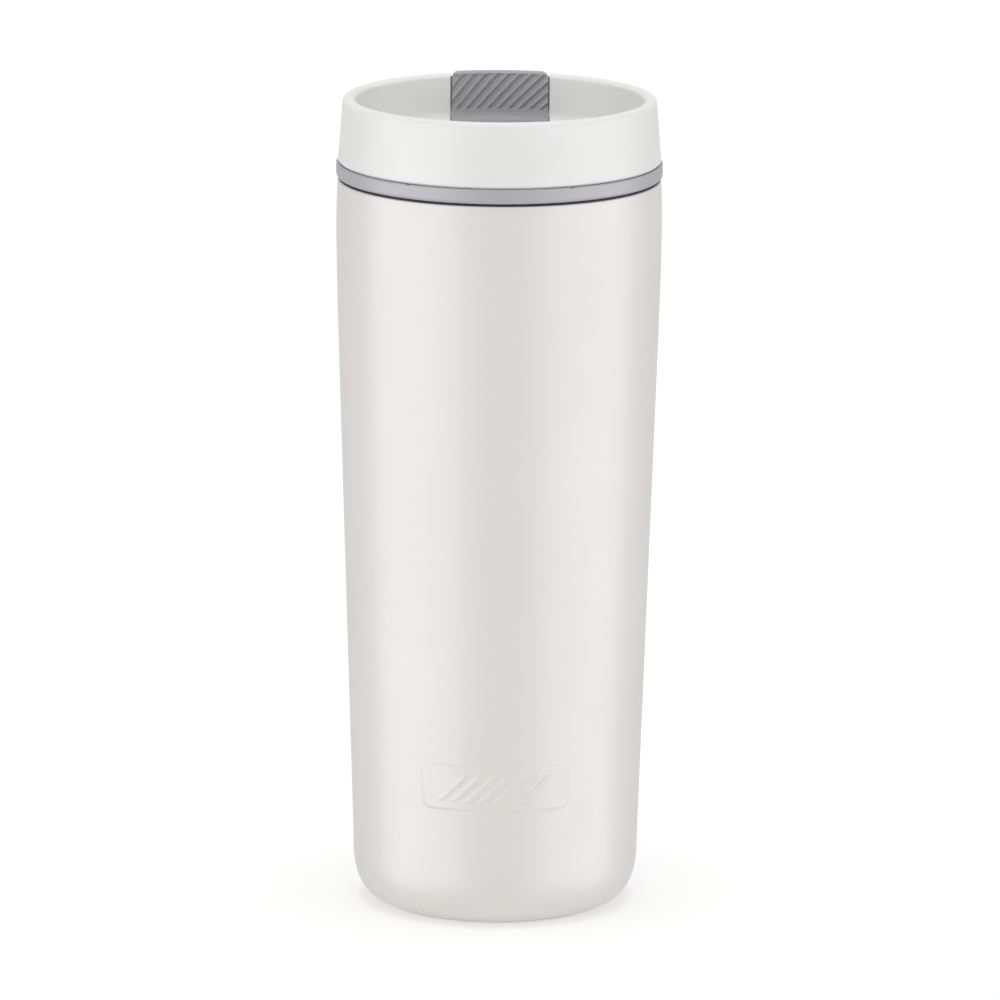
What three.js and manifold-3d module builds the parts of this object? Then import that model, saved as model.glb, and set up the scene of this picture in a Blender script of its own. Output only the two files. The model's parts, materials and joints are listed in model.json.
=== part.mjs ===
// Insulated travel mug: a double-walled steel cup, a screw-on lid and a flip lever that opens it.
// Millimetres, +Z up. The origin is the centre of the base, and the lever's thumb tab is at +Y.

import * as THREE from 'three';
import { mergeVertices } from 'three/addons/utils/BufferGeometryUtils.js';
import Module from 'manifold-3d';

const wasm = await Module();
wasm.setup();

// ---- Driving dimensions ----

const ROUND_STEPS = 48; // facets round the large turned pieces
const SMALL_STEPS = 20; // facets round the small ones
const WELD = 1e-4;

// Cup, outside: an upright shoulder that tapers towards a softly rounded base.
const BODY_TOP_Z = 182.1;
const SHOULDER_RADIUS = 40.2;
const TAPER_TOP_Z = 163;
const TAPER_SLOPE = 0.0322;
const TAPER_EASE = 6; // length over which the taper eases into the shoulder
const DRAW_IN_Z = 169.5; // above this the wall is drawn in a little towards its edge
const DRAW_IN = 0.35;
const EDGE_ROUND = 0.5;
const CORNER_WIDTH = 9.4;
const CORNER_HEIGHT = 15;
const CORNER_POWER = 2.6; // superellipse exponent of the base corner

// Cup, walls and vacuum space.
const STEEL_WALL = 0.5;
const VACUUM_GAP = 3.6;
const NECK_RADIUS = 36; // outside of the inner liner at the mouth
const NECK_BOTTOM_Z = 160;
const LINER_BOTTOM_Z = 8;
const LINER_CORNER = 9.5;
const FOOT_Z = 0.3; // steel foot ring, just above what the pad rests on
const RECESS_RADIUS = 28;
const RECESS_Z = 3.6;
const BASE_PLATE_Z = 3;
const PAD_THICKNESS = 1.8;
const EXHAUST_RADIUS = 1.5;

// Raised plaque on the front of the cup.
const PLAQUE = { width: 38, height: 11.7, z: 36, proud: 0.5 };

// Screw thread between liner and lid: three starts, right-handed.
const STARTS = 3;
const LEAD = 15;
const THREAD_SWEEP = THREE.MathUtils.degToRad(96);
const THREAD_STEPS = 12;
const THREAD_DEPTH = 1;
const THREAD_TIP = 1.1; // axial height at the crest
const THREAD_ROOT = 2;
const THREAD_Z = 165.5; // where the liner's ridges start
const LID_THREAD_DROP = LEAD / STARTS / 2; // the lid's ridges run midway between the liner's

// Lid.
const RING = { bottom: 182.65, top: 186.33, radius: 40.22, inner: 39.2 };
const COLLAR_BOTTOM_Z = 186.69;
const COLLAR_RADIUS = 39.8;
const COLLAR_SLOPE = 0.078;
const SEAM = { radius: 39, z: 186.43 }; // inside this radius the collar comes down to the plug
const CROWN_Z = 202.4;
const CROWN_RADIUS = 37.35;
const LIP_OUTER = { width: 1.33, drop: 1.4 };
const LIP_INNER = { width: 1.85, drop: 1.15 };
const DISH_RADIUS = 34.9; // at the foot of the dish's wall
const DISH_FILLET = 2.6;
const DISH_FLOOR_Z = 190.7;
const DISH_UNDERSIDE_Z = 189;
const SPIGOT = { inner: 28.8, outer: 30.9, bottom: 184.2 };
const SKIRT_CAVITY_RADIUS = 36;
const PLUG = { core: 33.6, bore: 31.4, bottom: 163, webBottom: 176.5, webTop: 178.3, flange: 39.1 };
const PLUG_SEAT_RADIUS = 31; // upper bore, which takes the collar's spigot
const GASKET = { inner: 33.8, outer: 36.8, bottom: 182.2, groove: 37, top: 184.1, lip: 39, lipTop: 182.55 };

// Lever, its slot through the rim and its trough across the dish.
const SLOT_HALF = 12.35;
const LEVER_HALF = 12.1;
const LEVER_TOP_Z = 202.75; // the tab stands a little above the crown
const TAB_ROUND = 0.8;
const TAB_CORNER = 1.7;
const FLANGE = { half: 12.8, y: 35.2, bottom: 193.3, top: 201.4 }; // wider back half of the tab
const REBATE = { half: 13.25, y: 34.9, bottom: 192.6, top: 201.75 }; // where the flange sits in the rim
const PIVOT = { y: 35.8, z: 190.4 };
const DRUM = { radius: 3.8, half: 12.2 };
const POCKET_Y = 30.4; // the slot is open down to the plug's flange behind this
const ARM_BOTTOM_Z = 188.3;
const TROUGH = { floor: 187.9, bottom: 186.5, wall: 1.55 };
const CHEEK_THICKNESS = 2.85;
const PIN = { radius: 1, half: 13.3, clearance: 0.1 };

// Drinking port and vent, both inside the trough.
const PORT_Y = -1;
const PORT = { bore: 5.6, chimney: 7.6, chimneyTop: 184.3, hole: 7.35 };
const SEAT = { neck: 7.25, flange: 8.6, flangeTop: 186.45, top: 187.85 };
const VENT_Y = 16;
const VENT = { bore: 1.5, chimney: 3, chimneyTop: 186.4 };

const FINISH = {
  whiteCoat: { color: 0xe6e3df, roughness: 0.42, metalness: 0 },
  whitePlastic: { color: 0xeeefed, roughness: 0.35, metalness: 0 },
  lightGreyPlastic: { color: 0xb4b3b8, roughness: 0.45, metalness: 0 },
  greyPlastic: { color: 0x8f8e93, roughness: 0.5, metalness: 0 },
  steel: { color: 0xc3c4c6, roughness: 0.3, metalness: 1 },
  copperFoil: { color: 0xc58a63, roughness: 0.3, metalness: 1 },
  getterMetal: { color: 0x6f7174, roughness: 0.6, metalness: 1 },
  solder: { color: 0xa9acb0, roughness: 0.4, metalness: 1 },
  silicone: { color: 0xd9dadb, roughness: 0.6, metalness: 0 },
  sealRubber: { color: 0x303033, roughness: 0.7, metalness: 0 },
  padRubber: { color: 0x5d5d61, roughness: 0.8, metalness: 0 },
  foam: { color: 0xf1eee6, roughness: 0.9, metalness: 0 },
};

// ---- Shape helpers ----

const at = (radius, height) => new THREE.Vector2(radius, height);

// Numbers from first to last in equal steps, both ends included.
function spread(first, last, steps) {
  return Array.from({ length: steps + 1 }, (_, i) => first + ((last - first) * i) / steps);
}

// Points on an ellipse from one angle to another, as a stretch of an outline.
function arc(centre, width, height, from, to, steps) {
  const onArc = (a) => at(centre.x + width * Math.cos(a), centre.y + height * Math.sin(a));
  return spread(from, to, steps).map(onArc);
}

// An outline of (radius, height) points turned about Z. It ends on the axis or closes on itself.
function turned(outline, steps = ROUND_STEPS) {
  const points = THREE.ShapeUtils.area(outline) > 0 ? [...outline] : [...outline].reverse();
  const meetsAxis = points[0].x === 0;
  const loop = meetsAxis ? points : [...points, points[0]];
  return new THREE.LatheGeometry(loop, steps).rotateX(Math.PI / 2);
}

// A flat outline in X and Y, pulled up from one height to another.
function raised(shape, bottom, top) {
  const settings = { depth: top - bottom, bevelEnabled: false, curveSegments: SMALL_STEPS };
  return new THREE.ExtrudeGeometry(shape, settings).translate(0, 0, bottom);
}

function block(x0, x1, y0, y1, z0, z1) {
  const box = new THREE.BoxGeometry(x1 - x0, y1 - y0, z1 - z0);
  return box.translate((x0 + x1) / 2, (y0 + y1) / 2, (z0 + z1) / 2);
}

// An upright rod or hole at a place on the Y axis.
function post(radius, y, bottom, top) {
  const outline = [at(0, bottom), at(radius, bottom), at(radius, top), at(0, top)];
  return turned(outline, SMALL_STEPS).translate(0, y, 0);
}

// A rod along X through the lever's pivot.
function crossRod(radius, half, steps = SMALL_STEPS) {
  return new THREE.CylinderGeometry(radius, radius, 2 * half, steps)
    .rotateZ(Math.PI / 2)
    .translate(0, PIVOT.y, PIVOT.z);
}

// A closed geometry as a solid that can be cut and joined.
function solid(geometry) {
  const bare = geometry.clone();
  bare.deleteAttribute('normal');
  bare.deleteAttribute('uv');
  const merged = mergeVertices(bare, WELD);
  const triangles = [];
  for (let i = 0; i < merged.index.count; i += 3) {
    const [a, b, c] = merged.index.array.slice(i, i + 3);
    if (a !== b && b !== c && c !== a) triangles.push(a, b, c);
  }
  const vertProperties = new Float32Array(merged.attributes.position.array);
  const triVerts = new Uint32Array(triangles);
  return new wasm.Manifold(new wasm.Mesh({ numProp: 3, vertProperties, triVerts }));
}

function geometryOf(shape) {
  const mesh = shape.getMesh();
  const geometry = new THREE.BufferGeometry();
  geometry.setAttribute('position', new THREE.BufferAttribute(mesh.vertProperties, mesh.numProp));
  geometry.setIndex(new THREE.BufferAttribute(mesh.triVerts, 1));
  geometry.computeVertexNormals();
  return geometry;
}

// The first geometry with others joined to it and then others cut out of it.
function carved(base, { join = [], cut = [] }) {
  const joined = join.reduce((shape, extra) => shape.add(solid(extra)), solid(base));
  return geometryOf(cut.reduce((shape, tool) => shape.subtract(solid(tool)), joined));
}

function piece(name, geometry, finish) {
  const mesh = new THREE.Mesh(geometry, new THREE.MeshStandardMaterial(finish));
  mesh.name = name;
  return mesh;
}

// A box bent round the Z axis. Place takes shares of its length (0 to 1), depth and height (-0.5 to 0.5).
function bent(steps, place) {
  const box = new THREE.BoxGeometry(1, 1, 1, steps, 1, 1);
  const position = box.attributes.position;
  for (let i = 0; i < position.count; i += 1) {
    const { angle, radius, height } = place(position.getX(i) + 0.5, -position.getY(i), position.getZ(i));
    position.setXYZ(i, radius * Math.cos(angle), radius * Math.sin(angle), height);
  }
  return box;
}

// One ridge of a screw thread. It stands out of a wall inwards (side -1) or outwards (side +1).
function threadRidge(start, wallRadius, side, bottomZ) {
  return bent(THREAD_STEPS, (along, depth, up) => {
    const crest = depth * side > 0;
    const turn = along * THREAD_SWEEP;
    return {
      angle: start + turn,
      radius: wallRadius + side * (crest ? THREAD_DEPTH : -STEEL_WALL / 2),
      height: bottomZ + (LEAD * turn) / (2 * Math.PI) + up * (crest ? THREAD_TIP : THREAD_ROOT),
    };
  });
}

// The ridges of every start, spaced evenly round the axis.
function threadRidges(wallRadius, side, bottomZ) {
  return Array.from({ length: STARTS }, (_, i) =>
    threadRidge((2 * Math.PI * i) / STARTS, wallRadius, side, bottomZ),
  );
}

// ---- Outlines that several pieces share ----

// Outside radius of the cup at a height above the base corner.
function bodyRadius(z) {
  const belowTaper = TAPER_EASE * Math.log1p(Math.exp((TAPER_TOP_Z - z) / TAPER_EASE));
  const drawn = Math.max(0, z - DRAW_IN_Z) / (BODY_TOP_Z - DRAW_IN_Z);
  return SHOULDER_RADIUS - TAPER_SLOPE * belowTaper - DRAW_IN * drawn * drawn;
}

// The cup's outer wall from foot to edge, shrunk inwards by an inset.
function bodyWall(inset) {
  const wall = bodyRadius(CORNER_HEIGHT);
  const softness = 2 / CORNER_POWER;
  const corner = spread(0.3, Math.PI / 2, 5).map((a) =>
    at(
      wall - CORNER_WIDTH * (1 - Math.sin(a) ** softness) - inset * Math.sin(a),
      FOOT_Z + (CORNER_HEIGHT - FOOT_Z) * (1 - Math.cos(a) ** softness) + inset * Math.cos(a),
    ),
  );
  const side = [75, 140, 158, 168, 176].map((z) => at(bodyRadius(z) - inset, z));
  return [...corner, ...side];
}

const linerRadius = (z) => bodyRadius(z) - STEEL_WALL - VACUUM_GAP;

// The inner liner from the axis up to its neck, shrunk inwards by an inset.
function linerWall(inset) {
  const cornerZ = LINER_BOTTOM_Z + LINER_CORNER;
  const round = LINER_CORNER - inset;
  const centre = at(linerRadius(cornerZ) - LINER_CORNER, cornerZ);
  return [
    at(0, LINER_BOTTOM_Z + inset),
    ...arc(centre, round, round, -Math.PI / 2, 0, 4),
    ...[90, 150].map((z) => at(linerRadius(z) - inset, z)),
    at(NECK_RADIUS - inset, NECK_BOTTOM_Z),
  ];
}

const collarRadius = (z) => COLLAR_RADIUS - COLLAR_SLOPE * (z - COLLAR_BOTTOM_Z);

// The dish from the foot of its wall to the axis.
function dishOutline() {
  const fillet = at(DISH_RADIUS - DISH_FILLET, DISH_FLOOR_Z + DISH_FILLET);
  return [...arc(fillet, DISH_FILLET, DISH_FILLET, 0, -Math.PI / 2, 4), at(0, DISH_FLOOR_Z)];
}

// The lid's rim: up the outside from a height, over the full-round crown and down into the dish.
function rimOutline(fromZ) {
  const outer = at(CROWN_RADIUS, CROWN_Z - LIP_OUTER.drop);
  const inner = at(CROWN_RADIUS, CROWN_Z - LIP_INNER.drop);
  return [
    at(collarRadius(fromZ), fromZ),
    at(outer.x + LIP_OUTER.width, outer.y),
    ...arc(outer, LIP_OUTER.width, LIP_OUTER.drop, Math.PI / 5, Math.PI / 2, 2),
    ...arc(inner, LIP_INNER.width, LIP_INNER.drop, 0.7 * Math.PI, Math.PI, 2),
    ...dishOutline(),
  ];
}

// The lever's tab follows the rim but has a squarer top, which stands above the crown.
function tabOutline(fromZ) {
  const z = LEVER_TOP_Z - TAB_ROUND;
  const outer = at(collarRadius(z) - TAB_ROUND, z);
  const inner = at(CROWN_RADIUS - LIP_INNER.width + TAB_ROUND, z);
  return [
    at(collarRadius(fromZ), fromZ),
    ...arc(outer, TAB_ROUND, TAB_ROUND, 0, Math.PI / 2, 2),
    ...arc(inner, TAB_ROUND, TAB_ROUND, Math.PI / 2, Math.PI, 2),
    ...dishOutline(),
  ];
}

// Plan of the lever's arm or its trough: a straight run that ends round the drinking port.
function armPlan(half, backY) {
  const plan = new THREE.Shape();
  plan.moveTo(half, backY);
  plan.lineTo(-half, backY);
  plan.lineTo(-half, PORT_Y);
  plan.absarc(0, PORT_Y, half, Math.PI, 2 * Math.PI, false);
  plan.closePath();
  return plan;
}

// ---- The cup ----

function plaque() {
  const sweep = PLAQUE.width / bodyRadius(PLAQUE.z);
  return bent(10, (along, depth, up) => {
    const height = PLAQUE.z + up * PLAQUE.height;
    const out = depth > 0 ? PLAQUE.proud : -STEEL_WALL / 2;
    return { angle: -Math.PI / 2 + (along - 0.5) * sweep, radius: bodyRadius(height) + out, height };
  });
}

function outerShell() {
  const edge = at(bodyRadius(BODY_TOP_Z) - EDGE_ROUND, BODY_TOP_Z - EDGE_ROUND);
  const mouth = NECK_RADIUS + 0.1;
  const outline = [
    at(RECESS_RADIUS, RECESS_Z),
    at(RECESS_RADIUS, FOOT_Z),
    ...bodyWall(0),
    ...arc(edge, EDGE_ROUND, EDGE_ROUND, 0, Math.PI / 2, 2),
    at(mouth, BODY_TOP_Z),
    at(mouth, BODY_TOP_Z - STEEL_WALL),
    at(edge.x, BODY_TOP_Z - STEEL_WALL),
    ...bodyWall(STEEL_WALL).reverse(),
    at(RECESS_RADIUS + STEEL_WALL, FOOT_Z + STEEL_WALL),
    at(RECESS_RADIUS + STEEL_WALL, RECESS_Z),
  ];
  return carved(turned(outline), { join: [plaque()] });
}

function innerLiner() {
  const outline = [
    ...linerWall(0),
    at(NECK_RADIUS, BODY_TOP_Z),
    at(NECK_RADIUS - STEEL_WALL, BODY_TOP_Z),
    ...linerWall(STEEL_WALL).reverse(),
  ];
  return carved(turned(outline), { join: threadRidges(NECK_RADIUS - STEEL_WALL, -1, THREAD_Z) });
}

function shellBase() {
  const edge = RECESS_RADIUS - 0.1;
  return turned([
    at(EXHAUST_RADIUS, BASE_PLATE_Z),
    at(edge - 1, BASE_PLATE_Z),
    at(edge, BASE_PLATE_Z - 0.6),
    at(edge, BASE_PLATE_Z + STEEL_WALL),
    at(EXHAUST_RADIUS, BASE_PLATE_Z + STEEL_WALL),
  ]);
}

function basePad() {
  const radius = RECESS_RADIUS - 0.4;
  const edge = 0.4;
  return turned([
    at(0, 0),
    at(radius - edge, 0),
    at(radius, edge),
    at(radius, PAD_THICKNESS),
    at(0, PAD_THICKNESS),
  ]);
}

// Solder drop that closes the hole through which the space between the walls was emptied.
function vacuumSeal() {
  return turned(
    [
      at(0, BASE_PLATE_Z - 1),
      at(2.2, BASE_PLATE_Z - 0.8),
      at(3, BASE_PLATE_Z - 0.1),
      at(EXHAUST_RADIUS - 0.1, BASE_PLATE_Z - 0.1),
      at(EXHAUST_RADIUS - 0.1, BASE_PLATE_Z + STEEL_WALL),
      at(0, BASE_PLATE_Z + STEEL_WALL),
    ],
    SMALL_STEPS,
  );
}

// Small pellet holder under the liner that keeps the vacuum clean.
function getter() {
  const top = LINER_BOTTOM_Z - 0.2;
  return turned([at(0, top - 1.6), at(5.4, top - 1.6), at(6, top - 1), at(6, top), at(0, top)], SMALL_STEPS);
}

function foilWrap() {
  const gap = 0.3;
  const thickness = 0.15;
  const heights = [22, 90, 150];
  const inside = heights.map((z) => at(linerRadius(z) + gap, z));
  const outside = heights.map((z) => at(linerRadius(z) + gap + thickness, z));
  return turned([...outside, ...inside.reverse()]);
}

// ---- The lid ----

function gasket() {
  return turned([
    at(GASKET.inner, GASKET.bottom),
    at(GASKET.lip, GASKET.bottom),
    at(GASKET.lip, GASKET.lipTop),
    at(GASKET.outer, GASKET.lipTop),
    at(GASKET.outer, GASKET.top - 0.1),
    at(GASKET.inner, GASKET.top - 0.1),
  ]);
}

function trimRing() {
  const round = 1;
  const topRound = 0.35;
  return turned([
    at(RING.inner, RING.bottom),
    ...arc(at(RING.radius - round, RING.bottom + round), round, round, -Math.PI / 2, 0, 3),
    at(RING.radius, RING.top - topRound),
    at(RING.radius - topRound, RING.top),
    at(RING.inner, RING.top),
  ]);
}

// The threaded lower body, with a flange under the collar and a web that carries two chimneys.
function lidPlug() {
  const chamfer = 1;
  const outline = [
    at(0, PLUG.webBottom),
    at(PLUG.bore, PLUG.webBottom),
    at(PLUG.bore, PLUG.bottom),
    at(PLUG.core - chamfer, PLUG.bottom),
    at(PLUG.core, PLUG.bottom + chamfer),
    at(PLUG.core, GASKET.top),
    at(GASKET.groove, GASKET.top),
    at(GASKET.groove, RING.bottom),
    at(PLUG.flange, RING.bottom),
    at(PLUG.flange, RING.top - 0.05),
    at(PLUG_SEAT_RADIUS, RING.top - 0.05),
    at(PLUG_SEAT_RADIUS, PLUG.webTop),
    at(0, PLUG.webTop),
  ];
  const web = (PLUG.webBottom + PLUG.webTop) / 2;
  return carved(turned(outline), {
    join: [
      ...threadRidges(PLUG.core, 1, THREAD_Z - LID_THREAD_DROP),
      post(PORT.chimney, PORT_Y, web, PORT.chimneyTop),
      post(VENT.chimney, VENT_Y, web, VENT.chimneyTop),
    ],
    cut: [
      post(PORT.bore, PORT_Y, PLUG.webBottom - 1, PORT.chimneyTop + 1),
      post(VENT.bore, VENT_Y, PLUG.webBottom - 1, VENT.chimneyTop + 1),
    ],
  });
}

// Foam disc in the space between the plug's web and the dish.
function lidInsulation() {
  const radius = SPIGOT.inner - 0.4;
  const bottom = PLUG.webTop + 0.3;
  const top = PORT.chimneyTop - 0.2;
  const disc = turned([at(0, bottom), at(radius, bottom), at(radius, top), at(0, top)]);
  const gap = 0.4;
  return carved(disc, {
    cut: [
      post(PORT.chimney + gap, PORT_Y, bottom - 1, top + 1),
      post(VENT.chimney + gap, VENT_Y, bottom - 1, top + 1),
    ],
  });
}

// Rim, dish and skirt in one moulding, with the lever's slot, trough and hinge cheeks.
function lidCollar() {
  const outline = [
    at(0, DISH_UNDERSIDE_Z),
    at(SPIGOT.inner, DISH_UNDERSIDE_Z),
    at(SPIGOT.inner, SPIGOT.bottom),
    at(SPIGOT.outer, SPIGOT.bottom),
    at(SPIGOT.outer, DISH_UNDERSIDE_Z),
    at(SKIRT_CAVITY_RADIUS, DISH_UNDERSIDE_Z),
    at(SKIRT_CAVITY_RADIUS, SEAM.z),
    at(SEAM.radius, SEAM.z),
    at(SEAM.radius, COLLAR_BOTTOM_Z),
    ...rimOutline(COLLAR_BOTTOM_Z),
  ];
  const cheekOuter = SLOT_HALF + CHEEK_THICKNESS;
  const cheeks = [-1, 1].map((side) => {
    const [x0, x1] = [side * (SLOT_HALF - 0.5), side * cheekOuter].sort((a, b) => a - b);
    return block(x0, x1, POCKET_Y - 1, SKIRT_CAVITY_RADIUS, COLLAR_BOTTOM_Z, DISH_UNDERSIDE_Z + 0.5);
  });
  const trough = raised(armPlan(SLOT_HALF + TROUGH.wall, POCKET_Y), TROUGH.bottom, DISH_UNDERSIDE_Z + 0.5);
  const above = CROWN_Z + 2;
  return carved(turned(outline), {
    join: [trough, ...cheeks],
    cut: [
      raised(armPlan(SLOT_HALF, COLLAR_RADIUS + 1), TROUGH.floor, above),
      block(-SLOT_HALF, SLOT_HALF, POCKET_Y, COLLAR_RADIUS + 1, SPIGOT.bottom - 1, above),
      block(-REBATE.half, REBATE.half, REBATE.y, COLLAR_RADIUS + 1, REBATE.bottom, REBATE.top),
      post(PORT.hole, PORT_Y, TROUGH.bottom - 1, above),
      post(VENT.bore, VENT_Y, TROUGH.bottom - 1, above),
      crossRod(PIN.radius + PIN.clearance, PIN.half + PIN.clearance),
    ],
  });
}

// Soft bush in the dish that the stopper closes on.
function portSeat() {
  return turned(
    [
      at(PORT.bore, PORT.chimneyTop + 0.05),
      at(SEAT.flange, PORT.chimneyTop + 0.05),
      at(SEAT.flange, SEAT.flangeTop),
      at(SEAT.neck, SEAT.flangeTop),
      at(SEAT.neck, SEAT.top),
      at(PORT.bore, SEAT.top),
    ],
    SMALL_STEPS,
  ).translate(0, PORT_Y, 0);
}

function hingePin() {
  return crossRod(PIN.radius, PIN.half, 16);
}

// ---- The lever ----

// Rounded front view of the tab, pulled through the lever from front to back.
function tabFront(y0, y1) {
  const low = COLLAR_BOTTOM_Z;
  const high = LEVER_TOP_Z - TAB_CORNER;
  const view = new THREE.Shape();
  view.moveTo(-LEVER_HALF, low);
  view.lineTo(LEVER_HALF, low);
  view.lineTo(LEVER_HALF, high);
  view.absarc(LEVER_HALF - TAB_CORNER, high, TAB_CORNER, 0, Math.PI / 2, false);
  view.absarc(TAB_CORNER - LEVER_HALF, high, TAB_CORNER, Math.PI / 2, Math.PI, false);
  view.closePath();
  const settings = { depth: y1 - y0, bevelEnabled: false, curveSegments: 4 };
  return new THREE.ExtrudeGeometry(view, settings).rotateX(Math.PI / 2).translate(0, y1, 0);
}

// Tab and arm follow the rim and the dish, and a drum round the pivot joins them. The tab's back half
// is a wider flange that covers the gaps beside it.
function leverGeometry() {
  const backY = COLLAR_RADIUS + 1;
  const frontY = PORT_Y - SLOT_HALF - 1;
  const section = solid(turned([at(0, ARM_BOTTOM_Z), ...tabOutline(ARM_BOTTOM_Z)]));
  const plan = solid(raised(armPlan(LEVER_HALF, backY), ARM_BOTTOM_Z - 1, LEVER_TOP_Z + 1));
  const front = solid(tabFront(frontY, backY));
  const underTab = solid(block(-SLOT_HALF, SLOT_HALF, PIVOT.y, backY, ARM_BOTTOM_Z - 1, PIVOT.z));
  const inside = solid(turned([at(0, COLLAR_BOTTOM_Z), ...tabOutline(COLLAR_BOTTOM_Z)]));
  const drum = solid(crossRod(DRUM.radius, DRUM.half, 32)).intersect(inside);
  const flangeBox = block(-FLANGE.half, FLANGE.half, FLANGE.y, backY, FLANGE.bottom, FLANGE.top);
  const flange = section.intersect(solid(flangeBox));
  const bore = solid(crossRod(PIN.radius + PIN.clearance, SLOT_HALF));
  const blade = section.intersect(plan).intersect(front).subtract(underTab);
  return geometryOf(blade.add(flange).add(drum).subtract(bore));
}

function portPlug() {
  const top = ARM_BOTTOM_Z - 0.05;
  return turned(
    [
      at(0, PORT.chimneyTop + 1),
      at(4.2, PORT.chimneyTop + 1),
      at(4.7, PORT.chimneyTop + 1.6),
      at(5, top - 0.3),
      at(6.8, top - 0.3),
      at(6.8, top),
      at(0, top),
    ],
    SMALL_STEPS,
  ).translate(0, PORT_Y, 0);
}

function ventPlug() {
  const top = ARM_BOTTOM_Z - 0.05;
  const nub = 1.5;
  const flange = 0.25;
  return turned(
    [
      at(0, top - nub),
      at(0.8, top - nub),
      at(1.1, top - flange),
      at(2.4, top - flange),
      at(2.4, top),
      at(0, top),
    ],
    12,
  ).translate(0, VENT_Y, 0);
}

// ---- Assembly ----

const cup = new THREE.Group();
cup.add(
  piece('outer_shell', outerShell(), FINISH.whiteCoat),
  piece('inner_liner', innerLiner(), FINISH.steel),
  piece('shell_base', shellBase(), FINISH.steel),
  piece('base_pad', basePad(), FINISH.padRubber),
  piece('foil_wrap', foilWrap(), FINISH.copperFoil),
  piece('getter', getter(), FINISH.getterMetal),
  piece('vacuum_seal', vacuumSeal(), FINISH.solder),
);

const lid = new THREE.Group();
lid.add(
  piece('lid_gasket', gasket(), FINISH.sealRubber),
  piece('lid_collar', lidCollar(), FINISH.whitePlastic),
  piece('trim_ring', trimRing(), FINISH.lightGreyPlastic),
  piece('lid_plug', lidPlug(), FINISH.greyPlastic),
  piece('lid_insulation', lidInsulation(), FINISH.foam),
  piece('port_seat', portSeat(), FINISH.silicone),
  piece('hinge_pin', hingePin(), FINISH.steel),
);

const flipLever = new THREE.Group();
flipLever.add(
  piece('lever', leverGeometry(), FINISH.greyPlastic),
  piece('port_plug', portPlug(), FINISH.silicone),
  piece('vent_plug', ventPlug(), FINISH.silicone),
);

const mug = new THREE.Group();
mug.add(cup, lid, flipLever);

export default mug;
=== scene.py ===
"""Insulated travel mug: the finished look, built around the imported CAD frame.

Outlines are in millimetres in the frame's axes: +Z up, +Y towards the lever's thumb tab.
"""

import json
import math

import bmesh
import bpy
import numpy as np
from mathutils import Matrix, Vector


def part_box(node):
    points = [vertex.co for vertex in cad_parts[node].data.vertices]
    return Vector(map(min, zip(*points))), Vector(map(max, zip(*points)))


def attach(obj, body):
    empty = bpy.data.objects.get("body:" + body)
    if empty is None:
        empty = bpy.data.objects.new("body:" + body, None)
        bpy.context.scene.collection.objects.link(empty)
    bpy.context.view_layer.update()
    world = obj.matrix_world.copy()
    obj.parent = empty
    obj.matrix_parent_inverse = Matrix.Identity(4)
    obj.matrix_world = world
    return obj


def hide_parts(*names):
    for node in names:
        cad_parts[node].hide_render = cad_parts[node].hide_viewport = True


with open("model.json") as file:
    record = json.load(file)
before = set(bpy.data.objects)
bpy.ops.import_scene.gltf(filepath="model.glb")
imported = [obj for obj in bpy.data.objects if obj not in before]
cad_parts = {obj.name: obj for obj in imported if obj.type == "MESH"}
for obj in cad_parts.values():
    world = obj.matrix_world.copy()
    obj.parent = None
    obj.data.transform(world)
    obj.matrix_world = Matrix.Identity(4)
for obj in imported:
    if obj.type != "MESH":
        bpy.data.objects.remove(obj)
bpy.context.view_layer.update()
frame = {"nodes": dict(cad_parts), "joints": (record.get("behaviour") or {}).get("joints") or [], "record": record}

MM = 0.001
TURN = 2 * math.pi


def low(node):
    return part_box(node)[0] / MM


def high(node):
    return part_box(node)[1] / MM


# ---- Sizes taken from the frame ----

JOINTS = {joint["name"]: joint for joint in frame["joints"]}
PIVOT_Y, PIVOT_Z = (value / MM for value in JOINTS["lever_flip"]["pos_m"][1:])
LEAD = frame["record"]["behaviour"]["couplings"][0]["ratio"] * TURN / MM

BODY_TOP = high("outer_shell").z
FOOT_Z = low("outer_shell").z
NECK_RADIUS = high("inner_liner").x
LINER_BOTTOM = low("inner_liner").z
RING_LOW, RING_HIGH = low("trim_ring").z, high("trim_ring").z
RING_RADIUS = high("trim_ring").x
CROWN_Z = high("lid_collar").z
LEVER_TOP = high("lever").z
PORT_Y = (low("port_seat").y + high("port_seat").y) / 2
VENT_Y = (low("vent_plug").y + high("vent_plug").y) / 2
PLUG_LOW = low("lid_plug").z

# ---- Sizes of the cup ----

SHOULDER_RADIUS = 40.2
TAPER_TOP_Z = 163
TAPER_SLOPE = 0.0322
TAPER_EASE = 6
DRAW_IN_Z = 169.5
DRAW_IN = 0.35
CORNER_WIDTH = 9.4
CORNER_HEIGHT = 15
CORNER_POWER = 2.6
CORNER_START = 0.2  # radians, where the flat ring of the foot ends
FOOT_EDGE = 0.4
STEEL_WALL = 0.5
VACUUM_GAP = 3.6
NECK_BOTTOM_Z = 160
LINER_CORNER = 9.5
RECESS_RADIUS = 28
RECESS_Z = 3.6

PLAQUE_Z = 36
PLAQUE_HALF = (19, 5.85)
PLAQUE_CORNER = 2.6
PLAQUE_RISE = 0.26
PLAQUE_EDGE = 0.55
BAR_PITCH = 3.5
BAR_HALF_WIDTH = 0.75
BAR_HALF_HEIGHT = 3.3
BAR_SPAN = 12.4
BAR_RISE = 0.23
BAR_EDGE = 0.4

FRONT_HALF = 33  # degrees either side of the front with close columns, for the plaque
FRONT_COLUMNS, BACK_COLUMNS = 250, 129
CLOSE_ROWS_HALF = 7  # height above and below the plaque's middle with close rows
SHOULDER_ROWS_Z = 150  # the rows are close again from here up
LINER_WALL_Z = (25, 152)

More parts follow.
